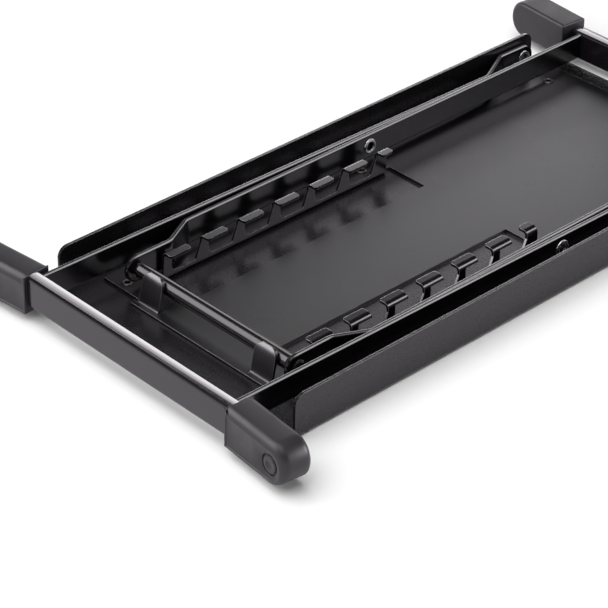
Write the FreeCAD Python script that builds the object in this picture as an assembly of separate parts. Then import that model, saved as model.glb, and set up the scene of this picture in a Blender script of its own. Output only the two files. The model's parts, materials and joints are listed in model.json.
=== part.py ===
"""Folding foot board: a sheet deck with two crossing leg frames, stored with its underside up.

Frame: millimetres, +Z up, +X along the board, origin at the centre of the deck's tread face,
which lies on the ground while the board is stored. Leg frame A is the outer one: it turns on the
deck near the +X end and carries foot tube A at the -X end. Leg frame B is the inner one: it turns
on frame A at the scissor rivets, its cross rod parks at the -X end and its foot tube is at +X.
"""
import FreeCAD, Part
import os
from math import atan2, cos, pi, radians, sin, sqrt, tan

V = FreeCAD.Vector

# ---- deck pan: one folded sheet with a skirt along each long side
DECK_LENGTH = 286.0
DECK_WIDTH = 129.0
SKIRT_HEIGHT = 17.6
DECK_SHEET = 1.2
DECK_BEND = 1.1              # centreline radius of the long bends
DECK_END = DECK_LENGTH / 2
SKIRT_SETBACK = 14.8         # how far each skirt stops short of the deck's ends
SKIRT_CORNER = 4.3
DECK_CORNER = 3.0

# ---- stations along X and heights of the axes
AXIS_Z = 10.3                # parked cross rod and scissor rivets
ROD_X = -DECK_END + 35.0
ROD_TO_SCISSOR = 126.3
SCISSOR_TO_PIVOT = 102.7
LEAN = 0.93                  # degrees by which folded frame A rises towards its foot tube
SCISSOR_X = ROD_X + ROD_TO_SCISSOR
PIVOT_X = SCISSOR_X + SCISSOR_TO_PIVOT * cos(radians(LEAN))
PIVOT_Z = AXIS_Z - SCISSOR_TO_PIVOT * sin(radians(LEAN))

# ---- rack plate: floor sheet with two folded racks and two clip tongues
PLATE_SHEET = 1.2
PLATE_TOP = DECK_SHEET + PLATE_SHEET
PLATE_MID = DECK_SHEET + PLATE_SHEET / 2
PLATE_HALF_WIDTH = 56.0
PLATE_START = ROD_X - 5.5
PLATE_STOP = DECK_END - 9.0
STRIP_START = ROD_X - 9.0
STRIP_EDGES = (-38.3, 36.5)   # the strip that carries the tongues reaches past each of them

CUTOUT_START = ROD_X + 9.3
CUTOUT_STOP = ROD_X + 130.3
RACK_START = ROD_X + 10.2
RACK_STOP = ROD_X + 126.6
RACK_FACE = 40.0             # inner face of the racks, from the centre plane
RACK_TOP = 13.7
RACK_PITCH = 18.37
RACK_NOTCHES = 6
CUTOUT_INNER = 22.0
TAB_EDGE = 36.1              # inner edge of the tabs, from the centre plane
TAB_BEND = 1.7
RACK_FOOT_BEND = 1.3
RACK_FOOT_LAP = 8.0          # how far a rack's foot runs into the floor sheet
TAB_CORNER = 0.9
TAB_START = ROD_X + 10.7
TAB_STOP = ROD_X + 20.9
TAB_UNDERSIDE = 12.0
NOTCH_WALL = ROD_X + 14.1
NOTCH_FLOOR = 4.0
NOTCH_CORNER = 2.7
NOTCH_RAMP_FOOT = ROD_X + 26.3
NOTCH_RAMP_TOP = TAB_START + RACK_PITCH
NOTCH_RAMP_Z = 10.5

TONGUE_CENTRE = {-1: -31.7, 1: 29.2}    # the near tongue stands a little further out
TONGUE_WIDTH = 10.9
TONGUE_LEAN = 12.5           # degrees off the vertical
TONGUE_TIP_LEAN = 32.0
TONGUE_GAP = 0.38            # air between the tongue and the parked rod
TONGUE_FOOT_BEND = 1.6
TONGUE_CURL = 8.0
TONGUE_CURL_START = 1.0      # height of the curl's start above the rod's axis
TONGUE_TIP_RUN = 1.0
TONGUE_CORNER = 4.0
TONGUE_SLOT_MARGIN = 0.5
TONGUE_SLOT_REACH = 7.6      # the lanced opening under a tongue, each way from the rod

# ---- leg bars, flat bar on edge
BAR_HEIGHT = 11.0
BAR_THICKNESS = 2.0
BAR_EDGE = 0.8               # rounding of the bars' long edges
LUG_RADIUS = BAR_HEIGHT / 2
INNER_BAR_FACE = 49.2        # inner face of frame B's bars
LUG_FACE = 42.3              # inner face of frame B's lugs, at the cross rod
OUTER_BAR_FACE = 51.8        # inner face of frame A's bars
PIVOT_BAR_FACE = 60.7        # inner face of frame A's bars at the deck pivots
JOGGLE_BEND = 5.0
INNER_JOGGLE = (16.4, 29.8)  # distances from the cross rod
OUTER_JOGGLE = (14.0, 31.0)  # distances from the deck pivots

# ---- cross rod
ROD_RADIUS = 3.0
ROD_NECK_RADIUS = 2.3
ROD_NECK = 1.5
ROD_STUB_RADIUS = 2.0
ROD_HEAD_RADIUS = 3.2
ROD_HEAD = 1.3
ROD_SHOULDER = 0.4           # chamfer where the rod steps down to its necks

# ---- foot tubes and end caps
TUBE_DEPTH = 6.0
TUBE_HEIGHT = 13.0
TUBE_WALL = 1.2
TUBE_CORNER = 1.4
TUBE_CROWN = 0.18            # bulge of the tube's rolled top and bottom
TUBE_HALF_LENGTH = 78.0
TUBE_GAP = 1.2               # from the deck's end to a foot tube's inner face
TUBE_DROP = 0.35             # a foot tube's centre line, below the centre line of its bars
CAP_RIM = 54.3               # inner end of the caps, from the centre plane
CAP_LENGTH = 33.7
CAP_DEPTH = 12.5
CAP_HEIGHT = 16.1
CAP_FRONT_WALL = 1.5
CAP_DROP = 1.1               # the caps sit this much nearer the deck than the tube does
CAP_FRONT_EDGE = 1.6
CAP_BACK_EDGE = 2.0
CAP_SWEEP = 5.5              # degrees by which the caps turn away from the board
CAP_FIT = 0.03
PANEL_RECESS = 0.35
PANEL_MARGIN = 3.2
RING_RADIUS = 4.1
RING_WIDTH = 0.9
RING_DEPTH = 0.5

# ---- tubular rivets and washers
PIVOT_RIVET = {"shank": 2.5, "bore": 2.0, "flange": 3.25, "lip": 0.7}
FLOOR_RIVET = {"shank": 1.5, "bore": 1.0, "flange": 2.2, "lip": 0.6}
RIVET_CLEARANCE = 0.05
WASHER_RADIUS = 4.2
WASHER_THICKNESS = 0.6
FLOOR_RIVET_ROW = 47.1       # distance of the floor rivets from the centre plane
FLOOR_RIVET_X = (ROD_X - 1.6, ROD_X + 119.7, PLATE_STOP - 12.0)

REACH = 400.0                # longer than the whole board, for through cuts
SIDES = {"near": -1, "far": 1}


def unit(a, b):
    """Unit vector from 2-D point a to 2-D point b."""
    length = sqrt((b[0] - a[0]) ** 2 + (b[1] - a[1]) ** 2)
    return ((b[0] - a[0]) / length, (b[1] - a[1]) / length)


def strip_side(points, radii, shift):
    """One side of a bent strip: its segments, shifted to the left of the centreline."""
    segments = []
    heading = unit(points[0], points[1])
    start = (points[0][0] - heading[1] * shift, points[0][1] + heading[0] * shift)
    for before, corner, after, radius in zip(points, points[1:], points[2:], radii):
        d0 = unit(before, corner)
        d1 = unit(corner, after)
        turn = atan2(d0[0] * d1[1] - d0[1] * d1[0], d0[0] * d1[0] + d0[1] * d1[1])
        side = 1 if turn > 0 else -1
        setback = radius * tan(abs(turn) / 2)
        entry = (corner[0] - d0[0] * setback, corner[1] - d0[1] * setback)
        centre = (entry[0] - d0[1] * radius * side, entry[1] + d0[0] * radius * side)
        reach = radius - side * shift
        middle = unit(centre, corner)
        first = (entry[0] - d0[1] * shift, entry[1] + d0[0] * shift)
        apex = (centre[0] + middle[0] * reach, centre[1] + middle[1] * reach)
        last = (corner[0] + d1[0] * setback - d1[1] * shift,
                corner[1] + d1[1] * setback + d1[0] * shift)
        segments.append((start, first))
        segments.append((first, apex, last))
        start = last
    heading = unit(points[-2], points[-1])
    end = (points[-1][0] - heading[1] * shift, points[-1][1] + heading[0] * shift)
    segments.append((start, end))
    return segments


def face_from(segments, place):
    """Planar face bounded by 2-D lines (two points) and arcs (three points)."""
    edges = []
    for segment in segments:
        corners = [place(*point) for point in segment]
        if len(corners) == 2:
            edges.append(Part.LineSegment(*corners).toShape())
        else:
            edges.append(Part.Arc(*corners).toShape())
    return Part.Face(Part.Wire(Part.__sortEdges__(edges)))


def bent_strip(points, radii, thickness, place, sweep):
    """Solid strip of even thickness that follows the centreline points with bends."""
    left = strip_side(points, radii, thickness / 2)
    right = strip_side(points, radii, -thickness / 2)
    ends = [(left[0][0], right[0][0]), (left[-1][-1], right[-1][-1])]
    return face_from(left + right + ends, place).extrude(sweep)


def in_xy(z):
    return lambda u, v: V(u, v, z)


def in_xz(y):
    return lambda u, v: V(u, y, v)


def in_yz(x):
    return lambda u, v: V(x, u, v)


def outline(points):
    """Closed run of straight 2-D segments."""
    return list(zip(points, points[1:] + points[:1]))


def box(x0, x1, y0, y1, z0, z1):
    return Part.makeBox(x1 - x0, y1 - y0, z1 - z0, V(x0, y0, z0))


def cylinder_y(x, z, radius, y0, y1):
    return Part.makeCylinder(radius, y1 - y0, V(x, y0, z), V(0, 1, 0))


def fillet_where(shape, radius, test):
    """Round every edge that the test accepts."""
    return shape.makeFillet(radius, [edge for edge in shape.Edges if test(edge)])


def side_of(shape, side):
    """The shape as drawn for +Y, or its mirror image for -Y."""
    return shape if side > 0 else shape.mirror(V(0, 0, 0), V(0, 1, 0))


def leaned(shape):
    """Turn a piece of frame A about the scissor axis to its stored angle."""
    turned = shape.copy()
    turned.rotate(V(SCISSOR_X, 0, AXIS_Z), V(0, 1, 0), LEAN)
    return turned


def mid(edge):
    return edge.valueAt((edge.FirstParameter + edge.LastParameter) / 2)


# ---- deck ---------------------------------------------------------------------------------
def deck_pan():
    """Folded sheet: flat tread with two skirts, shortened and rounded at their ends."""
    skirt = DECK_WIDTH / 2 - DECK_SHEET / 2
    section = [(-skirt, SKIRT_HEIGHT), (-skirt, DECK_SHEET / 2),
               (skirt, DECK_SHEET / 2), (skirt, SKIRT_HEIGHT)]
    pan = bent_strip(section, [DECK_BEND] * 2, DECK_SHEET, in_yz(-DECK_END), V(DECK_LENGTH, 0, 0))
    skirt_end = DECK_END - SKIRT_SETBACK
    inner = DECK_WIDTH / 2 - DECK_BEND - DECK_SHEET
    for end in (-1, 1):
        for side in (-1, 1):
            x0, x1 = sorted((end * skirt_end, end * REACH))
            y0, y1 = sorted((side * inner, side * REACH))
            pan = pan.cut(box(x0, x1, y0, y1, -1, SKIRT_HEIGHT + 1))
    pan = fillet_where(pan, SKIRT_CORNER, lambda e: abs(mid(e).z - SKIRT_HEIGHT) < 0.01
                       and abs(abs(mid(e).x) - skirt_end) < 0.01)
    pan = fillet_where(pan, DECK_CORNER, lambda e: abs(abs(mid(e).x) - DECK_END) < 0.01
                       and abs(abs(mid(e).y) - inner) < 0.01 and abs(mid(e).z - DECK_SHEET / 2) < 0.01)
    hole = PIVOT_RIVET["shank"] + RIVET_CLEARANCE
    pan = pan.cut(cylinder_y(PIVOT_X, PIVOT_Z, hole, -REACH, REACH))
    for x, y in floor_rivet_places():
        pan = pan.cut(floor_rivet_hole(x, y))
    return pan


def rack_windows(side):
    """Prisms that open the six notches and trim the first hook."""
    y0 = side * (TAB_EDGE - 2)
    sweep = V(0, side * (RACK_FACE + PLATE_SHEET + 0.5 - TAB_EDGE + 2), 0)
    above = RACK_TOP + 1
    corner_x = NOTCH_WALL + NOTCH_CORNER
    corner_z = NOTCH_FLOOR + NOTCH_CORNER
    arc_mid = (corner_x - NOTCH_CORNER * cos(pi / 4), corner_z - NOTCH_CORNER * sin(pi / 4))
    notch = [((corner_x, NOTCH_FLOOR), (NOTCH_RAMP_FOOT, NOTCH_FLOOR)),
             ((NOTCH_RAMP_FOOT, NOTCH_FLOOR), (NOTCH_RAMP_TOP, NOTCH_RAMP_Z)),
             ((NOTCH_RAMP_TOP, NOTCH_RAMP_Z), (NOTCH_RAMP_TOP, above)),
             ((NOTCH_RAMP_TOP, above), (TAB_STOP, above)),
             ((TAB_STOP, above), (TAB_STOP, TAB_UNDERSIDE)),
             ((TAB_STOP, TAB_UNDERSIDE), (NOTCH_WALL, TAB_UNDERSIDE)),
             ((NOTCH_WALL, TAB_UNDERSIDE), (NOTCH_WALL, corner_z)),
             ((NOTCH_WALL, corner_z), arc_mid, (corner_x, NOTCH_FLOOR))]
    prism = face_from(notch, in_xz(y0)).extrude(sweep)
    cuts = []
    for index in range(RACK_NOTCHES):
        copy = prism.copy()
        copy.translate(V(RACK_PITCH * index, 0, 0))
        cuts.append(copy)
    lead = [(RACK_START, PLATE_TOP + 1), (TAB_START, TAB_UNDERSIDE), (TAB_START, above),
            (RACK_START - 1, above), (RACK_START - 1, PLATE_TOP + 1)]
    cuts.append(face_from(outline(lead), in_xz(y0)).extrude(sweep))
    return cuts


def rack(side):
    """One rack: sheet folded up at the cut-out's edge, with its top folded in as tabs."""
    web = RACK_FACE + PLATE_SHEET / 2
    section = [(side * (web + RACK_FOOT_LAP), PLATE_MID), (side * web, PLATE_MID),
               (side * web, RACK_TOP - PLATE_SHEET / 2), (side * TAB_EDGE, RACK_TOP - PLATE_SHEET / 2)]
    blank = bent_strip(section, [RACK_FOOT_BEND, TAB_BEND], PLATE_SHEET, in_yz(RACK_START),
                       V(RACK_STOP - RACK_START, 0, 0))
    for cut in rack_windows(side):
        blank = blank.cut(cut)
    return fillet_where(blank, TAB_CORNER, lambda e: abs(abs(mid(e).y) - TAB_EDGE) < 0.01
                        and abs(e.Length - PLATE_SHEET) < 0.01 and mid(e).z > NOTCH_RAMP_Z)


def tongue(side):
    """Clip tongue: leans over the parked cross rod and curls at its tip."""
    lean, tip = radians(TONGUE_LEAN), radians(TONGUE_TIP_LEAN)
    offset = ROD_RADIUS + TONGUE_GAP + PLATE_SHEET / 2
    touch = (ROD_X - offset * cos(lean), AXIS_Z + offset * sin(lean))
    rise = AXIS_Z + TONGUE_CURL_START - touch[1]
    start = (touch[0] + rise * tan(lean), touch[1] + rise)
    foot = (start[0] - (start[1] - PLATE_MID) * tan(lean), PLATE_MID)
    setback = TONGUE_CURL * tan((tip - lean) / 2)
    crest = (start[0] + setback * sin(lean), start[1] + setback * cos(lean))
    run = setback + TONGUE_TIP_RUN
    end = (crest[0] + run * sin(tip), crest[1] + run * cos(tip))
    y0 = TONGUE_CENTRE[side] - TONGUE_WIDTH / 2
    blade = bent_strip([(STRIP_START + 0.5, PLATE_MID), foot, crest, end],
                       [TONGUE_FOOT_BEND, TONGUE_CURL], PLATE_SHEET, in_xz(y0), V(0, TONGUE_WIDTH, 0))
    top = end[1] + PLATE_SHEET / 2 * sin(tip)
    frame = box(STRIP_START, ROD_X, y0, y0 + TONGUE_WIDTH, DECK_SHEET, top)
    frame = fillet_where(frame, TONGUE_CORNER, lambda e: abs(mid(e).z - top) < 0.01
                         and abs(mid(e).y - TONGUE_CENTRE[side]) > 1)
    return blade.common(frame)


def rack_plate():
    """Floor sheet with its racks and tongues folded up out of its own cut-outs."""
    plate = box(PLATE_START, PLATE_STOP, -PLATE_HALF_WIDTH, PLATE_HALF_WIDTH, DECK_SHEET, PLATE_TOP)
    plate = plate.fuse(box(STRIP_START, PLATE_START + 1, *STRIP_EDGES, DECK_SHEET, PLATE_TOP))
    bend_line = RACK_FACE + PLATE_SHEET / 2 + RACK_FOOT_BEND
    slot = TONGUE_WIDTH / 2 + TONGUE_SLOT_MARGIN
    for side in SIDES.values():
        y0, y1 = sorted((side * CUTOUT_INNER, side * bend_line))
        plate = plate.cut(box(CUTOUT_START, CUTOUT_STOP, y0, y1, DECK_SHEET - 1, PLATE_TOP + 1))
        centre = TONGUE_CENTRE[side]
        plate = plate.cut(box(ROD_X - TONGUE_SLOT_REACH, ROD_X + TONGUE_SLOT_REACH,
                              centre - slot, centre + slot, DECK_SHEET - 1, PLATE_TOP + 1))
    for side in SIDES.values():
        plate = plate.fuse(rack(side)).fuse(tongue(side))
    for x, y in floor_rivet_places():
        plate = plate.cut(floor_rivet_hole(x, y))
    return plate.removeSplitter()


# ---- leg bars -----------------------------------------------------------------------------
def bar(points, lug_x, holes):
    """Flat bar on edge, drawn for +Y, with joggle bends, a round lug end and rivet holes."""
    blank = bent_strip(points, [JOGGLE_BEND] * (len(points) - 2), BAR_THICKNESS,
                       in_xy(AXIS_Z - BAR_HEIGHT / 2), V(0, 0, BAR_HEIGHT))
    xs = [point[0] for point in points]
    far_end = max(xs, key=lambda x: abs(x - lug_x))
    x0, x1 = sorted((lug_x, far_end))
    envelope = box(x0, x1, 0, REACH, AXIS_Z - LUG_RADIUS, AXIS_Z + LUG_RADIUS)
    envelope = envelope.fuse(cylinder_y(lug_x, AXIS_Z, LUG_RADIUS, 0, REACH)).removeSplitter()
    blank = blank.common(envelope)
    blank = fillet_where(blank, BAR_EDGE, lambda e: runs_along(e, far_end))
    for x, radius in holes:
        blank = blank.cut(cylinder_y(x, AXIS_Z, radius, 0, REACH))
    return blank


def runs_along(edge, far_end):
    """True for a bar's long edges and lug rims, false for its square end and its bend lines."""
    if abs(mid(edge).x - far_end) < 0.01:
        return False
    box_z = edge.BoundBox
    upright = box_z.XLength < 0.01 and box_z.YLength < 0.01
    across = box_z.XLength < 0.01 or box_z.ZLength > BAR_HEIGHT - 0.1 and box_z.YLength < 0.01
    return not upright and not (across and box_z.YLength > BAR_THICKNESS - 0.01)


def inner_bar():
    """Frame B's bar: straight beside frame A's bar, stepped inwards to its lug at the rod."""
    lug = LUG_FACE + BAR_THICKNESS / 2
    run = INNER_BAR_FACE + BAR_THICKNESS / 2
    points = [(ROD_X - LUG_RADIUS, lug), (ROD_X + INNER_JOGGLE[0], lug),
              (ROD_X + INNER_JOGGLE[1], run), (DECK_END + TUBE_GAP, run)]
    holes = [(ROD_X, ROD_STUB_RADIUS), (SCISSOR_X, PIVOT_RIVET["shank"] + RIVET_CLEARANCE)]
    return bar(points, ROD_X, holes)


def outer_bar():
    """Frame A's bar: straight from foot tube A, stepped outwards to its lug on the skirt."""
    lug = PIVOT_BAR_FACE + BAR_THICKNESS / 2
    run = OUTER_BAR_FACE + BAR_THICKNESS / 2
    pivot = SCISSOR_X + SCISSOR_TO_PIVOT
    points = [(-DECK_END - TUBE_GAP, run), (pivot - OUTER_JOGGLE[1], run),
              (pivot - OUTER_JOGGLE[0], lug), (pivot + LUG_RADIUS, lug)]
    rivet_hole = PIVOT_RIVET["shank"] + RIVET_CLEARANCE
    holes = [(SCISSOR_X, PIVOT_RIVET["shank"]), (pivot, rivet_hole)]
    return leaned(bar(points, pivot, holes))


def cross_rod():
    """Round rod with a thinner neck at each lug and a riveted head outside it."""
    outside = LUG_FACE + BAR_THICKNESS
    steps = [(0, ROD_RADIUS), (LUG_FACE - ROD_NECK, ROD_RADIUS), (LUG_FACE - ROD_NECK, ROD_NECK_RADIUS),
             (LUG_FACE, ROD_NECK_RADIUS), (LUG_FACE, ROD_STUB_RADIUS), (outside, ROD_STUB_RADIUS),
             (outside, ROD_HEAD_RADIUS), (outside + ROD_HEAD / 2, ROD_HEAD_RADIUS),
             (outside + ROD_HEAD, ROD_HEAD_RADIUS - ROD_HEAD / 2), (outside + ROD_HEAD, 0), (0, 0)]
    half = face_from(outline(steps), lambda u, v: V(ROD_X, u, AXIS_Z + v))
    half = half.revolve(V(ROD_X, 0, AXIS_Z), V(0, 1, 0), 360)
    whole = half.fuse(half.mirror(V(0, 0, 0), V(0, 1, 0))).removeSplitter()
    return whole.makeChamfer(ROD_SHOULDER, [edge for edge in whole.Edges
                                        if abs(edge.BoundBox.XLength - 2 * ROD_RADIUS) < 0.01
                                        and abs(abs(mid(edge).y) - LUG_FACE + ROD_NECK) < 0.01])


# ---- foot tubes and caps ------------------------------------------------------------------
def tube_section(inset):
    """Outline in XZ of the foot tube, shrunk by inset, with crowned top and bottom."""
    half, top = TUBE_DEPTH / 2 - inset, TUBE_HEIGHT / 2 - inset
    corner = TUBE_CORNER - inset
    flat, side, bevel = half - corner, top - corner, corner * cos(pi / 4)
    crown = top + TUBE_CROWN
    segments = [((-half, -side), (-half, side)), ((half, -side), (half, side)),
                ((-flat, top), (0, crown), (flat, top)), ((-flat, -top), (0, -crown), (flat, -top))]
    for sx in (-1, 1):
        for sz in (-1, 1):
            segments.append(((sx * half, sz * side), (sx * (flat + bevel), sz * (side + bevel)),
                             (sx * flat, sz * top)))
    return segments


def foot_tube(end):
    """Rectangular tube just past the deck's end; end is -1 for frame A and +1 for frame B."""
    length = TUBE_HALF_LENGTH
    tube = face_from(tube_section(0), in_xz(-length)).extrude(V(0, 2 * length, 0))
    bore = face_from(tube_section(TUBE_WALL), in_xz(-length - 1))
    tube = tube.cut(bore.extrude(V(0, 2 * length + 2, 0)))
    tube.translate(V(end * (DECK_END + TUBE_GAP + TUBE_DEPTH / 2), 0, AXIS_Z - TUBE_DROP))
    return tube


def end_cap(end, side):
    """Thick soft cap over a foot tube's end: stadium outline, rounded rims, recessed panel."""
    radius = CAP_HEIGHT / 2
    top, bottom = radius, -radius
    centre = CAP_LENGTH - radius
    stadium = [((0, bottom), (centre, bottom)),
               ((centre, bottom), (CAP_LENGTH, 0), (centre, top)),
               ((centre, top), (0, top)), ((0, top), (0, bottom))]
    cap = face_from(stadium, in_yz(0)).extrude(V(CAP_DEPTH, 0, 0))
    cap = fillet_where(cap, CAP_FRONT_EDGE, lambda e: e.BoundBox.XMax < 0.01 and mid(e).y > 0.01)
    cap = fillet_where(cap, CAP_BACK_EDGE, lambda e: e.BoundBox.XMin > CAP_DEPTH - 0.01
                       and mid(e).y > 0.01)
    panel_radius = radius - PANEL_MARGIN
    panel = [((-1, -panel_radius), (centre, -panel_radius)),
             ((centre, -panel_radius), (centre + panel_radius, 0), (centre, panel_radius)),
             ((centre, panel_radius), (-1, panel_radius)), ((-1, panel_radius), (-1, -panel_radius))]
    cap = cap.cut(face_from(panel, in_yz(-1)).extrude(V(1 + PANEL_RECESS, 0, 0)))
    ring = Part.makeCylinder(RING_RADIUS, RING_DEPTH, V(PANEL_RECESS, centre, 0), V(1, 0, 0))
    ring = ring.cut(Part.makeCylinder(RING_RADIUS - RING_WIDTH, RING_DEPTH,
                                      V(PANEL_RECESS, centre, 0), V(1, 0, 0)))
    cap = cap.cut(ring)
    cap.rotate(V(0, 0, 0), V(0, 0, 1), CAP_SWEEP)
    cap.translate(V(-TUBE_DEPTH / 2 - CAP_FRONT_WALL, CAP_RIM, -CAP_DROP))
    trim = box(-REACH, REACH, -REACH, CAP_RIM, -REACH, REACH)
    cap = cap.cut(trim)
    pocket = face_from(tube_section(-CAP_FIT), in_xz(0))
    cap = side_of(cap.cut(pocket.extrude(V(0, TUBE_HALF_LENGTH + CAP_FIT, 0))), side)
    if end > 0:
        cap.rotate(V(0, 0, 0), V(0, 1, 0), 180)
    cap.translate(V(end * (DECK_END + TUBE_GAP + TUBE_DEPTH / 2), 0, AXIS_Z - TUBE_DROP))
    return cap


# ---- rivets and washers -------------------------------------------------------------------
def tubular_rivet(size, grip):
    """Hollow rivet along +Z from 0 to grip, with a rolled lip outside each end."""
    shank, bore, flange, lip = (size[key] for key in ("shank", "bore", "flange", "lip"))
    steps = [(bore, -lip / 2), (bore + lip / 2, -lip), (flange - lip / 2, -lip), (flange, -lip / 2),
             (flange, 0), (shank, 0), (shank, grip), (flange, grip), (flange, grip + lip / 2),
             (flange - lip / 2, grip + lip), (bore + lip / 2, grip + lip), (bore, grip + lip / 2)]
    return face_from(outline(steps), in_xz(0)).revolve(V(0, 0, 0), V(0, 0, 1), 360)


def along_y(shape, x, y, z):
    """Lay a piece made along +Z on the Y axis, with its foot at the given point."""
    laid = shape.copy()
    laid.rotate(V(0, 0, 0), V(1, 0, 0), -90)
    laid.translate(V(x, y, z))
    return laid


def scissor_rivet(side):
    grip = OUTER_BAR_FACE + BAR_THICKNESS - INNER_BAR_FACE
    return side_of(along_y(tubular_rivet(PIVOT_RIVET, grip), SCISSOR_X, INNER_BAR_FACE, AXIS_Z), side)


def pivot_rivet(side):
    grip = DECK_WIDTH / 2 - PIVOT_BAR_FACE
    return side_of(along_y(tubular_rivet(PIVOT_RIVET, grip), PIVOT_X, PIVOT_BAR_FACE, PIVOT_Z), side)


def washer(x, y, z, side):
    ring = Part.makeCylinder(WASHER_RADIUS, WASHER_THICKNESS)
    ring = ring.cut(Part.makeCylinder(PIVOT_RIVET["shank"] + RIVET_CLEARANCE, WASHER_THICKNESS))
    return side_of(along_y(ring, x, y, z), side)


def floor_rivet_places():
    return [(x, side * FLOOR_RIVET_ROW) for x in FLOOR_RIVET_X for side in SIDES.values()]


def floor_rivet_hole(x, y):
    """Hole through deck and plate, countersunk on the tread face."""
    shank, flange = FLOOR_RIVET["shank"], FLOOR_RIVET["flange"]
    drill = Part.makeCylinder(shank, PLATE_TOP + 1, V(x, y, 0))
    return drill.fuse(Part.makeCone(flange, shank, flange - shank, V(x, y, 0)))


def floor_rivets():
    """Hollow rivets that hold the rack plate on the deck, flush on the tread face."""
    shank, bore, flange, lip = (FLOOR_RIVET[key] for key in ("shank", "bore", "flange", "lip"))
    steps = [(bore, 0), (flange, 0), (shank, flange - shank), (shank, PLATE_TOP), (flange, PLATE_TOP),
             (flange, PLATE_TOP + lip / 2), (flange - lip / 2, PLATE_TOP + lip),
             (bore + lip / 2, PLATE_TOP + lip), (bore, PLATE_TOP + lip / 2)]
    rivet = face_from(outline(steps), in_xz(0)).revolve(V(0, 0, 0), V(0, 0, 1), 360)
    group = []
    for x, y in floor_rivet_places():
        copy = rivet.copy()
        copy.translate(V(x, y, 0))
        group.append(copy)
    return Part.makeCompound(group)


# ---- assembly -----------------------------------------------------------------------------
def build():
    """Every node by name."""
    parts = {"deck_pan": deck_pan(), "rack_plate": rack_plate(), "floor_rivets": floor_rivets(),
             "cross_rod": cross_rod(), "foot_tube_a": leaned(foot_tube(-1)), "foot_tube_b": foot_tube(1)}
    bar_a, bar_b = outer_bar(), inner_bar()
    for name, side in SIDES.items():
        parts["leg_a_bar_" + name] = side_of(bar_a, side)
        parts["leg_b_bar_" + name] = side_of(bar_b, side)
        parts["end_cap_a_" + name] = leaned(end_cap(-1, side))
        parts["end_cap_b_" + name] = end_cap(1, side)
        parts["scissor_rivet_" + name] = scissor_rivet(side)
        parts["scissor_washer_" + name] = washer(SCISSOR_X, INNER_BAR_FACE + BAR_THICKNESS, AXIS_Z, side)
        parts["deck_pivot_rivet_" + name] = pivot_rivet(side)
        parts["deck_pivot_washer_" + name] = washer(PIVOT_X, PIVOT_BAR_FACE + BAR_THICKNESS,
                                                    PIVOT_Z, side)
    return parts


def main():
    os.makedirs("parts", exist_ok=True)
    for name, shape in build().items():
        if not shape.isValid():
            raise RuntimeError(name + " is not a valid shape")
        shape.exportStep("parts/" + name + ".step")
        size = shape.BoundBox
        print("%-24s solids %d  volume %9.1f  x %.1f..%.1f  y %.1f..%.1f  z %.1f..%.1f"
              % (name, len(shape.Solids), shape.Volume, size.XMin, size.XMax,
                 size.YMin, size.YMax, size.ZMin, size.ZMax))
    print("deck pivot %.4f %.4f  scissor %.4f %.4f" % (PIVOT_X, PIVOT_Z, SCISSOR_X, AXIS_Z))


main()
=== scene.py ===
import bpy
import bmesh
import json
import math
import random
from mathutils import Matrix, Vector


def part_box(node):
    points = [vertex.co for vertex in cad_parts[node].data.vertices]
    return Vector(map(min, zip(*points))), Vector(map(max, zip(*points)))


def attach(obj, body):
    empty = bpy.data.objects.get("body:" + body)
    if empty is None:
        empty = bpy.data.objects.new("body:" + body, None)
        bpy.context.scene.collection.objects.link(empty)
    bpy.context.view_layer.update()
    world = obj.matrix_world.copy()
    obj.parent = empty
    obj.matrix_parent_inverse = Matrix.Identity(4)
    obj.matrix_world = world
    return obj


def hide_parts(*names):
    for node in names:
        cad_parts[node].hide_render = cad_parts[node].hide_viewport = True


# Looks for the folding foot board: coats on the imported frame's sheet, bars, tubes and rod, and finer meshes
# for its rivets and its moulded caps. Shapes are drawn in millimetres and scaled by MM, and everything in
# the studio is in metres.

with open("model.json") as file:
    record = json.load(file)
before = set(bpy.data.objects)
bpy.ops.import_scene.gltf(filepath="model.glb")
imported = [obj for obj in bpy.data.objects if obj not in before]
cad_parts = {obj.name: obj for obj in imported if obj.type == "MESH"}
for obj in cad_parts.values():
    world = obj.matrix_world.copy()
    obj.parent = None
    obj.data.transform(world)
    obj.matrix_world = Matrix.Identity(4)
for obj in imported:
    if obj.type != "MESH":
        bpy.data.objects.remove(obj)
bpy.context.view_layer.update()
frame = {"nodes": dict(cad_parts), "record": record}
MM = 0.001
SIDES = {"near": -1, "far": 1}

JOINTS = {joint["name"]: joint for joint in frame["record"]["behaviour"]["joints"]}
SCISSOR = Vector(JOINTS["scissor_pivot"]["pos_m"])
DECK_PIVOT = Vector(JOINTS["leg_a_pivot"]["pos_m"])
# how far frame A leans while it is stored: the line through its two pivots isn't quite level
LEAN = math.atan2(SCISSOR.z - DECK_PIVOT.z, DECK_PIVOT.x - SCISSOR.x)


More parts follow.
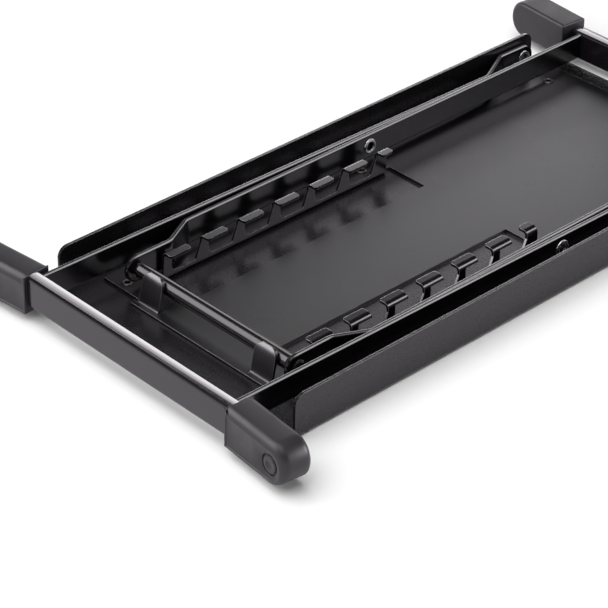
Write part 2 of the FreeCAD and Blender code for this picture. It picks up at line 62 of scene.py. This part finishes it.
# ---- materials ----------------------------------------------------------------------------
class Graph:
    """A new material with a Principled shader, and helpers that add and join its nodes."""

    def __init__(self, name):
        self.material = bpy.data.materials.new(name)
        self.material.use_nodes = True
        self.tree = self.material.node_tree
        self.tree.nodes.clear()
        self.output = self.tree.nodes.new("ShaderNodeOutputMaterial")
        self.shader = self.tree.nodes.new("ShaderNodeBsdfPrincipled")
        self.join(self.shader.outputs["BSDF"], self.output.inputs["Surface"])
        self.coords = self.tree.nodes.new("ShaderNodeTexCoord").outputs["Object"]

    def join(self, source, target):
        self.tree.links.new(source, target)

    def constant(self, socket, value):
        """Set a value that is the same all over on the shader's own socket."""
        self.shader.inputs[socket].default_value = value

    def add(self, kind, **values):
        """New node; a keyword sets the node's property of that name, or else its input."""
        node = self.tree.nodes.new(kind)
        for key, value in values.items():
            if hasattr(node, key):
                setattr(node, key, value)
            else:
                node.inputs[key].default_value = value
        return node

    def stretched(self, scale):
        node = self.add("ShaderNodeMapping", Scale=scale)
        self.join(self.coords, node.inputs["Vector"])
        return node.outputs["Vector"]

    def noise(self, scale, detail=3.0, rough=0.55, vector=None, distortion=0.0):
        node = self.add("ShaderNodeTexNoise", Scale=scale, Detail=detail, Roughness=rough,
                        Distortion=distortion)
        self.join(vector or self.coords, node.inputs["Vector"])
        return node.outputs["Fac"]

    def cells(self, scale):
        node = self.add("ShaderNodeTexVoronoi", Scale=scale)
        self.join(self.coords, node.inputs["Vector"])
        return node.outputs["Distance"]

    def ranged(self, value, low, high, to_low, to_high):
        """Map low..high to to_low..to_high, held at both ends."""
        node = self.add("ShaderNodeMapRange")
        for key, number in (("From Min", low), ("From Max", high), ("To Min", to_low), ("To Max", to_high)):
            node.inputs[key].default_value = number
        self.join(value, node.inputs["Value"])
        return node.outputs["Result"]

    def maths(self, operation, a, b):
        """Math node; a and b are sockets or numbers."""
        node = self.add("ShaderNodeMath", operation=operation)
        for index, value in enumerate((a, b)):
            if isinstance(value, (int, float)):
                node.inputs[index].default_value = value
            else:
                self.join(value, node.inputs[index])
        return node.outputs["Value"]

    def mixed(self, factor, a, b):
        """Colour mix from a to b; each is a socket or a tuple of red, green and blue."""
        node = self.add("ShaderNodeMix", data_type="RGBA")
        self.join(factor, node.inputs[0])
        for index, value in ((6, a), (7, b)):
            if isinstance(value, tuple):
                node.inputs[index].default_value = value + (1.0,)
            else:
                self.join(value, node.inputs[index])
        return node.outputs[2]

    def soften(self, radius):
        """Normals rounded over the sharp edges."""
        return self.add("ShaderNodeBevel", samples=10, Radius=radius).outputs["Normal"]

    def edge_mask(self, radius, low=0.90, high=0.995):
        """1 on edges and tight bends, 0 on flats."""
        geometry = self.add("ShaderNodeNewGeometry")
        dot = self.add("ShaderNodeVectorMath", operation="DOT_PRODUCT")
        self.join(self.soften(radius), dot.inputs[0])
        self.join(geometry.outputs["Normal"], dot.inputs[1])
        return self.ranged(dot.outputs["Value"], low, high, 1.0, 0.0)

    def bump(self, height, distance, strength, normal=None):
        node = self.add("ShaderNodeBump", Strength=strength, Distance=distance)
        self.join(height, node.inputs["Height"])
        if normal is not None:
            self.join(normal, node.inputs["Normal"])
        return node.outputs["Normal"]


DUST = (0.10, 0.098, 0.095)
# the coat turns from the floor sheet's to the racks' between these heights, and only right of this place
RACK_FOOT, RACK_CLEAR = 2.7 * MM, 4.5 * MM
RACK_START = -100 * MM


def powder_coat(name, dark, light, rough, peel, round_over, edge_wear_and_highlight, specular=0.5, folded_rough=None,
                tint=0.945):
    """Satin black powder coat: fine orange peel, faint mottling, dust specks, and pale edges that are partly
    wear and partly a painted highlight.

    peel is the strength of the orange peel, round_over the radius, in metres, that edges are shaded with,
    edge_wear_and_highlight the share of the paler rim on the edges, partly edge wear and partly a painted
    highlight, and tint the green in the reflections. Where folded_rough is given, the racks that stand up
    from the floor sheet have that roughness.
    """
    g = Graph(name)
    mottle = g.noise(scale=38.0, detail=4.0, rough=0.6)
    grain = g.noise(scale=1500.0, detail=2.0, rough=0.5)
    waves = g.noise(scale=420.0, detail=2.0, rough=0.5)

    # colour: mottled, with a paler rim on the edges that is partly wear and partly a painted highlight, and a
    # few specks of dust
    tone = g.mixed(g.ranged(mottle, 0.35, 0.7, 0.0, 1.0), dark, light)
    edge = g.edge_mask(round_over)
    patches = g.ranged(g.noise(scale=140.0, detail=4.0, rough=0.65), 0.42, 0.62, 0.7, 1.0)
    worn_and_highlight_edges = g.maths("MULTIPLY", edge, patches)
    # the rim's pale colour is a painted highlight on the edges, mixed with paler worn paint
    worn_and_highlight_rim = tuple(channel * 2.2 + 0.22 for channel in light)
    tone = g.mixed(g.maths("MULTIPLY", worn_and_highlight_edges, edge_wear_and_highlight), tone, worn_and_highlight_rim)
    speck = g.ranged(g.cells(260.0), 0.035, 0.055, 1.0, 0.0)
    dusty = g.ranged(g.noise(scale=55.0, detail=1.0), 0.60, 0.66, 0.0, 1.0)
    speck = g.maths("MULTIPLY", speck, dusty)
    tone = g.mixed(g.maths("MULTIPLY", speck, 0.5), tone, DUST)
    g.join(tone, g.shader.inputs["Base Color"])

    # roughness: uneven, with grain, and smoother on the racks and on worn edges
    gloss = g.ranged(g.noise(scale=90.0, detail=3.0), 0.3, 0.7, rough - 0.012, rough + 0.012)
    if folded_rough is not None:
        place = g.add("ShaderNodeSeparateXYZ")
        g.join(g.coords, place.inputs["Vector"])
        raised = g.ranged(place.outputs["Z"], RACK_FOOT, RACK_CLEAR, 0.0, rough - folded_rough)
        along = g.maths("GREATER_THAN", place.outputs["X"], RACK_START)
        gloss = g.maths("SUBTRACT", gloss, g.maths("MULTIPLY", raised, along))
    gloss = g.maths("ADD", gloss, g.ranged(grain, 0.3, 0.7, -0.02, 0.02))
    gloss = g.maths("SUBTRACT", gloss, g.maths("MULTIPLY", worn_and_highlight_edges, 0.08))
    g.join(gloss, g.shader.inputs["Roughness"])

    g.constant("Specular IOR Level", specular)
    g.constant("Specular Tint", (0.99, tint, 1.0, 1.0))
    normal = g.soften(round_over)
    normal = g.bump(waves, 0.02 * MM, peel, normal)
    normal = g.bump(grain, 0.004 * MM, peel * 0.5, normal)
    g.join(normal, g.shader.inputs["Normal"])
    return g.material


def zinc(name, tone, rough):
    """Zinc plate: blotchy grey, with scratches round the pivots' axis."""
    g = Graph(name)
    blotch = g.noise(scale=700.0, detail=4.0, rough=0.6)
    scratch = g.noise(scale=900.0, detail=3.0, rough=0.6, vector=g.stretched((1.0, 6.0, 1.0)))
    dull = tuple(channel * 0.55 for channel in tone)
    g.join(g.mixed(g.ranged(blotch, 0.35, 0.65, 0.0, 1.0), dull, tone), g.shader.inputs["Base Color"])
    g.constant("Metallic", 1.0)
    g.join(g.ranged(scratch, 0.3, 0.7, rough - 0.08, rough + 0.12), g.shader.inputs["Roughness"])
    normal = g.bump(scratch, 0.02 * MM, 0.35, g.soften(0.12 * MM))
    g.join(normal, g.shader.inputs["Normal"])
    return g.material


def soft_plastic(name, dark, light, rough):
    """Moulded soft plastic: fine spark-eroded grain, handling marks, slightly paler edges."""
    g = Graph(name)
    grain = g.noise(scale=2600.0, detail=3.0, rough=0.6)
    pores = g.cells(1500.0)
    handling = g.noise(scale=75.0, detail=4.0, rough=0.6, distortion=0.4)
    tone = g.mixed(g.ranged(handling, 0.35, 0.7, 0.0, 1.0), dark, light)
    edge = g.edge_mask(0.5 * MM, low=0.85, high=0.99)
    pale = tuple(channel * 1.7 for channel in light)
    tone = g.mixed(g.maths("MULTIPLY", edge, 0.5), tone, pale)
    g.join(tone, g.shader.inputs["Base Color"])
    g.join(g.ranged(handling, 0.3, 0.7, rough + 0.05, rough - 0.05), g.shader.inputs["Roughness"])
    g.constant("Specular IOR Level", 0.5)
    g.constant("Specular Tint", (0.965, 0.905, 1.0, 1.0))
    normal = g.bump(grain, 0.02 * MM, 0.4)
    normal = g.bump(pores, 0.012 * MM, 0.3, normal)
    g.join(normal, g.shader.inputs["Normal"])
    return g.material


# One black powder coat in five copies. Beside real differences in roughness and gloss, their base tones are
# set darker on the bars and deck and paler on the tube, so each piece is as bright as it appears under the
# light: painted shade and painted light.
COAT_PLATE = powder_coat("coat_plate", dark=(0.0032, 0.0028, 0.0032), light=(0.0050, 0.0045, 0.0050),
                         rough=0.30, peel=0.3, round_over=0.35 * MM, edge_wear_and_highlight=0.6, folded_rough=0.20,
                         tint=0.925)
COAT_DECK = powder_coat("coat_deck", dark=(0.0028, 0.0025, 0.0028), light=(0.0042, 0.0038, 0.0042),
                        rough=0.28, peel=0.2, round_over=0.35 * MM, edge_wear_and_highlight=0.35, specular=0.47,
                        tint=0.905)
COAT_TUBE = powder_coat("coat_tube", dark=(0.0065, 0.0056, 0.0066), light=(0.0085, 0.0073, 0.0086),
                        rough=0.17, peel=0.3, round_over=0.25 * MM, edge_wear_and_highlight=0.1, specular=0.57,
                        tint=0.895)
COAT_BAR = powder_coat("coat_bar", dark=(0.0018, 0.0016, 0.0018), light=(0.0030, 0.0027, 0.0030),
                       rough=0.20, peel=0.3, round_over=0.25 * MM, edge_wear_and_highlight=0.3)
COAT_ROD = powder_coat("coat_rod", dark=(0.0026, 0.0021, 0.0022), light=(0.0040, 0.0033, 0.0034),
                       rough=0.22, peel=0.1, round_over=0.2 * MM, edge_wear_and_highlight=0.0, specular=0.6)
ZINC = zinc("zinc_bright", tone=(0.72, 0.72, 0.73), rough=0.22)
ZINC_SET = zinc("zinc_set", tone=(0.20, 0.19, 0.18), rough=0.42)
ZINC_DULL = zinc("zinc_dull", tone=(0.40, 0.40, 0.41), rough=0.38)
# near-black zinc for the inside of the rivets' bores: painted shade in the hollow
ZINC_BORE_SHADE = zinc("zinc_bore_shade", tone=(0.045, 0.042, 0.040), rough=0.55)
CAP_SOFT = soft_plastic("cap_soft", dark=(0.0080, 0.0072, 0.0083), light=(0.0118, 0.0106, 0.0122),
                        rough=0.42)

# by the start of the node's name; the caps and rivets are coated too, although finer pieces stand for them
NODE_COATS = {"deck_pan": COAT_DECK, "rack_plate": COAT_PLATE, "cross_rod": COAT_ROD,
              "foot_tube": COAT_TUBE, "leg_a_bar": COAT_BAR, "leg_b_bar": COAT_BAR,
              "end_cap": CAP_SOFT, "floor_rivets": ZINC, "scissor_rivet": ZINC,
              "deck_pivot_rivet": ZINC, "scissor_washer": ZINC_DULL, "deck_pivot_washer": ZINC_DULL}


def coat_nodes():
    for name, node in frame["nodes"].items():
        for prefix, material in NODE_COATS.items():
            if name.startswith(prefix):
                node.data.materials.clear()
                node.data.materials.append(material)


# ---- pieces -------------------------------------------------------------------------------
SHARP_FROM = math.radians(50.0)


def make_piece(name, mesh_builder, materials, body, node):
    """Turn a bmesh into a piece that rides on a body and stands for a CAD node."""
    bm = bmesh.new()
    mesh_builder(bm)
    bmesh.ops.recalc_face_normals(bm, faces=bm.faces)
    mesh = bpy.data.meshes.new(name)
    bm.to_mesh(mesh)
    bm.free()
    mesh.shade_smooth()
    mesh.set_sharp_from_angle(angle=SHARP_FROM)
    for material in materials:
        mesh.materials.append(material)
    piece = bpy.data.objects.new(name, mesh)
    bpy.context.scene.collection.objects.link(piece)
    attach(piece, body)
    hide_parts(node)


def join_rings(bm, rings):
    """Faces between each closed ring of vertices and the next."""
    for a, b in zip(rings, rings[1:]):
        for i in range(len(a)):
            j = (i + 1) % len(a)
            bm.faces.new((a[i], a[j], b[j], b[i]))


# A cap is drawn as the far one of the left tube, in millimetres: its front face lies in the plane x = 0,
# y runs from its open end outwards, and z is measured from its middle. CAP_RIM is its open end's distance
# from the board's middle, CAP_DROP its middle's drop below the tube's, and CAP_FRONT_WALL is the wall in
# front of the tube.
CAP_RIM = 54.3
CAP_LENGTH = 33.7
CAP_DEPTH = 12.5
CAP_HEIGHT = 16.1
CAP_RADIUS = CAP_HEIGHT / 2
CAP_SWEEP = math.radians(5.5)
CAP_DROP = 1.1
CAP_CORNER = 0.5
CAP_FRONT_WALL = 1.5
FRONT_ROUND = {"top": 3.3, "end": 3.2, "bottom": 0.55, "worn_and_highlight_rim": 0.35}
BACK_ROUND = {"top": 2.4, "end": 3.0, "bottom": 1.6, "worn_and_highlight_rim": 0.4}
ROUND_STEPS = 7

# the foot tube inside the cap: its depth, its middle's drop below the scissor axis, its gap to the deck
TUBE_DEPTH = 6.0
TUBE_DROP = 0.35
TUBE_OFFSET = 1.2

# the pressed panel in the cap's front face, and its wall as (depth, inset) from the floor out to the face
PANEL_TOP, PANEL_BOTTOM = 4.75, -7.0
PANEL_Z = (PANEL_TOP + PANEL_BOTTOM) / 2
PANEL_START = 0.9
PANEL_Y = 25.0
PANEL_CORNER = 0.4
PANEL_DEPTH = 0.38
PANEL_WALL = ((PANEL_DEPTH, 0.22), (PANEL_DEPTH - 0.06, 0.06), (0.06, -0.08), (0.0, -0.24))

# ring and dimple in the panel's floor: (radius, depth below the floor) from the outside in
MARK = ((4.30, 0.0), (4.18, 0.10), (4.10, 0.70), (3.42, 0.70), (3.34, 0.10), (3.22, 0.0),
        (1.75, 0.0), (1.62, 0.12), (1.2, 0.30))
MARK_COUNT = 72


def stadium(y0, centre, top, bottom, corner, straight=14, arc=40, side=6):
    """Closed loop of (y, z, normal y, normal z): a flat end at y0 with small corners, and a round end."""
    radius, middle = (top - bottom) / 2, (top + bottom) / 2
    loop = []
    for i in range(straight):
        t = i / straight
        loop.append((y0 + corner + (centre - y0 - corner) * t, bottom, 0.0, -1.0))
    for i in range(arc):
        a = -math.pi / 2 + math.pi * i / arc
        ny, nz = math.cos(a), math.sin(a)
        loop.append((centre + radius * ny, middle + radius * nz, ny, nz))
    for i in range(straight):
        t = i / straight
        loop.append((centre - (centre - y0 - corner) * t, top, 0.0, 1.0))
    for i in range(side):
        a = math.pi / 2 + math.pi / 2 * i / side
        ny, nz = math.cos(a), math.sin(a)
        loop.append((y0 + corner + corner * ny, top - corner + corner * nz, ny, nz))
    for i in range(side):
        t = i / side
        loop.append((y0, top - corner - (top - bottom - 2 * corner) * t, -1.0, 0.0))
    for i in range(side):
        a = math.pi + math.pi / 2 * i / side
        ny, nz = math.cos(a), math.sin(a)
        loop.append((y0 + corner + corner * ny, bottom + corner + corner * nz, ny, nz))
    return loop


def edge_radius(ny, nz, top, end, bottom, worn_and_highlight_rim):
    """Rounding of the cap's edge where the outline faces (ny, nz)."""
    up, down, out, back = max(nz, 0.0), max(-nz, 0.0), max(ny, 0.0), max(-ny, 0.0)
    total = up ** 2 + down ** 2 + out ** 2 + back ** 2
    return (top * up ** 2 + bottom * down ** 2 + end * out ** 2 + worn_and_highlight_rim * back ** 2) / total


def rounded_loop(outline, step, sizes):
    """(depth, y, z) points of one loop over a rounded edge: step 0 is on the face, the last on the side."""
    a = math.pi / 2 * step / ROUND_STEPS
    points = []
    for y, z, ny, nz in outline:
        radius = edge_radius(ny, nz, **sizes)
        cut = radius * (1 - math.sin(a))
        points.append((radius * (1 - math.cos(a)), y - ny * cut, z - nz * cut))
    return points


def placed_cap(end, side):
    """Matrix from the cap's own millimetres to its place in the frame."""
    local = (Matrix.Translation((-TUBE_DEPTH / 2 - CAP_FRONT_WALL, CAP_RIM, -CAP_DROP))
             @ Matrix.Rotation(CAP_SWEEP, 4, "Z"))
    if side < 0:
        local = Matrix.Scale(-1, 4, (0, 1, 0)) @ local
    if end > 0:
        local = Matrix.Rotation(math.pi, 4, "Y") @ local
    low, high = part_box("deck_pan")
    offset = (high.x if end > 0 else -low.x) / MM + TUBE_OFFSET + TUBE_DEPTH / 2
    place = Matrix.Translation((end * offset, 0, SCISSOR.z / MM - TUBE_DROP))
    whole = Matrix.Scale(MM, 4) @ place @ local
    if end < 0:
        turn = Matrix.Translation(SCISSOR) @ Matrix.Rotation(LEAN, 4, "Y") @ Matrix.Translation(-SCISSOR)
        whole = turn @ whole
    return whole


def cap_mesh(end, side):
    """Builder of one cap: a stadium with roundings that change round it, and a pressed panel."""
    def build(bm):
        outline = stadium(0.0, CAP_LENGTH - CAP_RADIUS, CAP_RADIUS, -CAP_RADIUS, CAP_CORNER)
        panel = stadium(PANEL_START, PANEL_Y, PANEL_TOP, PANEL_BOTTOM, PANEL_CORNER)
        loops = [[(depth, y - ny * inset, z - nz * inset) for y, z, ny, nz in panel]
                 for depth, inset in PANEL_WALL]
        for step in range(ROUND_STEPS + 1):
            loops.append(rounded_loop(outline, step, FRONT_ROUND))
        for step in range(ROUND_STEPS, -1, -1):
            loops.append([(CAP_DEPTH - depth, y, z)
                          for depth, y, z in rounded_loop(outline, step, BACK_ROUND)])
        rings = [[bm.verts.new(point) for point in loop] for loop in loops]
        join_rings(bm, rings)
        bm.faces.new(rings[-1])
        mark_mesh(bm, rings[0])
        bm.transform(placed_cap(end, side))
    return build


def mark_mesh(bm, border):
    """Panel floor with a plain ring pressed into it round a small dimple."""
    turns = [2 * math.pi * i / MARK_COUNT for i in range(MARK_COUNT)]
    rings = [[bm.verts.new((PANEL_DEPTH + depth, PANEL_Y + radius * math.cos(a),
                            PANEL_Z + radius * math.sin(a))) for a in turns] for radius, depth in MARK]
    join_rings(bm, rings)
    bm.faces.new(rings[-1])

    def edges(loop):
        pairs = zip(loop, loop[1:] + loop[:1])
        return [bm.edges.get(pair) or bm.edges.new(pair) for pair in pairs]
    bmesh.ops.triangle_fill(bm, edges=edges(border) + edges(rings[0]), use_beauty=True)


def caps():
    for letter, end, body in (("a", -1, "leg_a"), ("b", 1, "leg_b")):
        for name, side in SIDES.items():
            make_piece("cap_%s_%s" % (letter, name), cap_mesh(end, side), [CAP_SOFT], body,
                       "end_cap_%s_%s" % (letter, name))


# Rivets, in millimetres: the radii of shank, bore and flange, the height of a rolled lip, the sides of the
# turned mesh, and how far it is out of round as a share of the radius. The scissor and deck pivot rivets are
# alike. The floor rivets stand in two rows and have a sunk head.
PIN_SHANK, PIN_BORE, PIN_FLANGE, PIN_LIP = 2.48, 1.75, 3.25, 0.7
PIN_COUNT, PIN_WOBBLE = 48, 0.006
FLOOR_SHANK, FLOOR_BORE, FLOOR_FLANGE, FLOOR_LIP = 1.48, 1.0, 2.2, 0.6
FLOOR_HEAD, FLOOR_HEAD_DEPTH = 2.15, 0.7
FLOOR_COUNT, FLOOR_WOBBLE = 36, 0.012
FLOOR_ROW_Y = 47.1
FLOOR_PLACES_X = (-109.6, 11.7, 122.0)


def lathe(bm, profile, place, bore, count, wobble, seed):
    """Revolve a closed profile of (radius, height) points, in millimetres, round Z.

    bore is the index of the profile's stretch that takes the piece's second material, the near-black zinc
    that paints the shade inside the bore.
    """
    rng = random.Random(seed)
    phase = [rng.uniform(0, 2 * math.pi) for _ in range(3)]
    rings = []
    for i in range(count):
        a = 2 * math.pi * i / count
        shift = 1 + wobble * sum(math.sin((k + 2) * a + phase[k]) / (k + 1) for k in range(3))
        rings.append([bm.verts.new(place @ Vector((r * shift * math.cos(a), r * shift * math.sin(a), h)))
                      for r, h in profile])
    size = len(profile)
    for i in range(count):
        a, b = rings[i], rings[(i + 1) % count]
        for k in range(size):
            m = (k + 1) % size
            face = bm.faces.new((a[k], a[m], b[m], b[k]))
            face.material_index = 1 if k == bore else 0


def roll(bore, flange, lip, base, sign, steps=9):
    """Rolled lip of a hollow rivet: an arch from the flange's foot over to the bore."""
    middle, half = (bore + flange) / 2, (flange - bore) / 2
    return [(middle + half * math.cos(math.pi * k / steps),
             base + sign * lip * math.sin(math.pi * k / steps) ** 0.8) for k in range(steps + 1)]


def pin_rivets():
    """The hollow rivets that the leg frames turn on, rolled over at both ends."""
    axes = {"scissor_rivet_": ("leg_a", SCISSOR), "deck_pivot_rivet_": ("deck", DECK_PIVOT)}
    for prefix, (body, axis) in axes.items():
        for name, side in SIDES.items():
            low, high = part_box(prefix + name)
            inner = min(abs(low.y), abs(high.y)) / MM + PIN_LIP
            outer = max(abs(low.y), abs(high.y)) / MM - PIN_LIP
            grip = outer - inner
            place = (Matrix.Translation((axis.x, side * inner * MM, axis.z)) @ Matrix.Scale(MM, 4)
                     @ Matrix.Rotation(-side * math.pi / 2, 4, "X"))
            start = [(PIN_SHANK, 0.0), (PIN_SHANK, grip)] + roll(PIN_BORE, PIN_FLANGE, PIN_LIP, grip, 1)
            profile = start + roll(PIN_BORE, PIN_FLANGE, PIN_LIP, 0.0, -1)[::-1]

            def build(bm, profile=profile, bore=len(start) - 1, place=place, seed=len(prefix) + side):
                lathe(bm, profile, place, bore, PIN_COUNT, PIN_WOBBLE, seed)
            make_piece(prefix + "rolled_" + name, build, [ZINC, ZINC_BORE_SHADE], body, prefix + name)


def floor_rivet_lips():
    """The six floor rivets, flush on the tread face and rolled over on the plate."""
    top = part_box("floor_rivets")[1].z / MM - FLOOR_LIP
    foot = [(FLOOR_BORE, 0.0), (FLOOR_HEAD, 0.0), (FLOOR_SHANK, FLOOR_HEAD_DEPTH), (FLOOR_SHANK, top)]
    profile = foot + roll(FLOOR_BORE, FLOOR_FLANGE, FLOOR_LIP, top, 1)

    def build(bm):
        for i, x in enumerate(FLOOR_PLACES_X):
            for side in SIDES.values():
                place = Matrix.Scale(MM, 4) @ Matrix.Translation((x, side * FLOOR_ROW_Y, 0))
                lathe(bm, profile, place, len(profile) - 1, FLOOR_COUNT, FLOOR_WOBBLE, 7 * i + side)
    make_piece("floor_rivets_rolled", build, [ZINC_SET, ZINC_BORE_SHADE], "deck", "floor_rivets")


# ---- studio -------------------------------------------------------------------------------
FLOOR_HALF = 6.0
FLOOR_Z = -0.0002
FLOOR_TONES = (0.90, 0.90, 0.90), (0.93, 0.93, 0.93)

# what the softboxes point at, in metres
BOARD = (0.0, 0.0, 0.0)
TUBE = (-0.147, 0.0, 0.02)
ROD = (-0.108, 0.0, 0.01)
NEAR_CAP = (-0.147, -0.07, 0.01)

CAPS = tuple("cap_%s_%s" % (letter, side) for letter in "ab" for side in SIDES)
BARS = tuple("leg_%s_bar_%s" % (letter, side) for letter in "ab" for side in SIDES)
TUBES = ("foot_tube_a", "foot_tube_b")
RIVETS = tuple(prefix + side for side in SIDES
               for prefix in ("scissor_rivet_rolled_", "deck_pivot_rivet_rolled_"))

# brightness of the sky by the height of its direction: bright only near the horizon
SKY = ((0.0, 1.0), (0.24, 0.95), (0.42, 0.22), (0.60, 0.05), (1.0, 0.04))
SKY_STRENGTH = 1.15

# the camera's place in metres, and its lens and sensor in millimetres
CAMERA_PLACE = (-0.6170, -0.5854, 0.5290)
CAMERA_YAW, CAMERA_PITCH, CAMERA_TWIST = math.radians(46.61), math.radians(33.52), math.radians(0.48)
SENSOR_WIDTH = 36.0
LENS_LENGTH = 153.532895


def studio_floor():
    """Plain pale floor, just below the tread face."""
    g = Graph("studio_floor")
    cloud = g.noise(scale=3.0, detail=3.0, rough=0.5)
    g.join(g.mixed(g.ranged(cloud, 0.3, 0.7, 0.0, 1.0), *FLOOR_TONES), g.shader.inputs["Base Color"])
    g.constant("Roughness", 0.85)
    g.constant("Specular IOR Level", 0.0)
    mesh = bpy.data.meshes.new("studio_floor")
    corners = [(x * FLOOR_HALF, y * FLOOR_HALF, FLOOR_Z) for x, y in ((-1, -1), (1, -1), (1, 1), (-1, 1))]
    mesh.from_pydata(corners, [], [(0, 1, 2, 3)])
    mesh.materials.append(g.material)
    floor = bpy.data.objects.new("studio_floor", mesh)
    bpy.context.scene.collection.objects.link(floor)


def softbox(name, place, size, power, target=BOARD, only_on=(), diffuse=False):
    """Area light that faces target. It makes only reflections, or with diffuse none at all.

    only_on names the pieces that it lights; without it, it lights everything.
    """
    light = bpy.data.lights.new(name, "AREA")
    light.shape = "RECTANGLE"
    light.size, light.size_y = size
    light.energy = power
    lamp = bpy.data.objects.new(name, light)
    lamp.location = place
    lamp.visible_camera = False
    lamp.visible_diffuse = diffuse
    lamp.visible_glossy = not diffuse
    lamp.rotation_mode = "QUATERNION"
    lamp.rotation_quaternion = (Vector(target) - Vector(place)).to_track_quat("-Z", "Y")
    bpy.context.scene.collection.objects.link(lamp)
    if only_on:
        receivers = bpy.data.collections.new(name + "_receivers")
        for node in only_on:
            receivers.objects.link(bpy.data.objects[node])
        lamp.light_linking.receiver_collection = receivers


def lights():
    """Softboxes for the reflections on each kind of piece, and one soft light from above.

    Each line gives the place, (width, height), power in watts, target, and the pieces that it lights.
    """
    softbox("tube_softbox", (0.378, 0.525, 0.32), (0.50, 0.60), 5.2, TUBE, TUBES)
    softbox("back_softbox", (0.72, 0.84, 0.20), (0.60, 0.20), 2.9,
            only_on=BARS + ("rack_plate", "deck_pan"))
    softbox("right_softbox", (0.703, 0.679, 0.435), (0.42, 0.34), 0.90)
    softbox("left_softbox", (-0.79, 0.79, 0.63), (0.80, 0.85), 17.0, ROD, RIVETS)
    softbox("ceiling_softbox", (-0.30, 0.10, 1.30), (1.20, 1.20), 11.0)
    softbox("rod_softbox", (-0.708, 0.72, 0.73), (1.00, 0.90), 13.0, ROD,
            CAPS + ("cross_rod", "rack_plate"))
    softbox("tongue_softbox", (-0.933, 0.67, 0.275), (0.50, 0.50), 11.0, ROD, ("rack_plate",))
    softbox("front_softbox", (0.60, -0.42, 0.68), (1.20, 1.30), 37.0, only_on=BARS + ("deck_pan",))
    softbox("tab_softbox", (0.63, -0.63, 0.62), (0.35, 0.35), 4.0, only_on=("rack_plate",))
    softbox("cap_softbox", (0.60, -0.75, 0.36), (0.45, 0.45), 9.0, NEAR_CAP, CAPS)
    softbox("top_softbox", (-0.60, 0.20, 1.5), (2.4, 2.4), 49.0, diffuse=True)


def sky():
    """World light that depends only on the height of the direction."""
    world = bpy.data.worlds.new("studio")
    world.use_nodes = True
    tree = world.node_tree
    background = tree.nodes["Background"]
    direction = tree.nodes.new("ShaderNodeTexCoord").outputs["Generated"]
    split = tree.nodes.new("ShaderNodeSeparateXYZ")
    ramp = tree.nodes.new("ShaderNodeValToRGB")
    tree.links.new(direction, split.inputs["Vector"])
    tree.links.new(split.outputs["Z"], ramp.inputs["Fac"])
    tree.links.new(ramp.outputs["Color"], background.inputs["Color"])
    stops = ramp.color_ramp.elements
    for stop, (height, value) in zip(stops, (SKY[0], SKY[-1])):
        stop.position, stop.color = height, (value, value, value, 1)
    for height, value in SKY[1:-1]:
        stops.new(height).color = (value, value, value, 1)
    background.inputs["Strength"].default_value = SKY_STRENGTH
    bpy.context.scene.world = world


def camera():
    """Long lens, looking down at the near left corner."""
    level = math.cos(CAMERA_PITCH)
    forward = Vector((math.cos(CAMERA_YAW) * level, math.sin(CAMERA_YAW) * level, -math.sin(CAMERA_PITCH)))
    right = Vector((math.sin(CAMERA_YAW), -math.cos(CAMERA_YAW), 0))
    up = right.cross(forward)
    turned_right = math.cos(CAMERA_TWIST) * right + math.sin(CAMERA_TWIST) * up
    turned_up = -math.sin(CAMERA_TWIST) * right + math.cos(CAMERA_TWIST) * up
    lens = bpy.data.cameras.new("studio_camera")
    lens.sensor_width = SENSOR_WIDTH
    lens.lens = LENS_LENGTH
    lens.clip_start, lens.clip_end = 0.05, 20.0
    stand = bpy.data.objects.new("studio_camera", lens)
    turn = Matrix((turned_right, turned_up, -forward)).transposed().to_4x4()
    stand.matrix_world = Matrix.Translation(CAMERA_PLACE) @ turn
    bpy.context.scene.collection.objects.link(stand)
    bpy.context.scene.camera = stand


coat_nodes()
caps()
pin_rivets()
floor_rivet_lips()
studio_floor()
lights()
sky()
camera()
bpy.context.scene.view_settings.view_transform = "Standard"
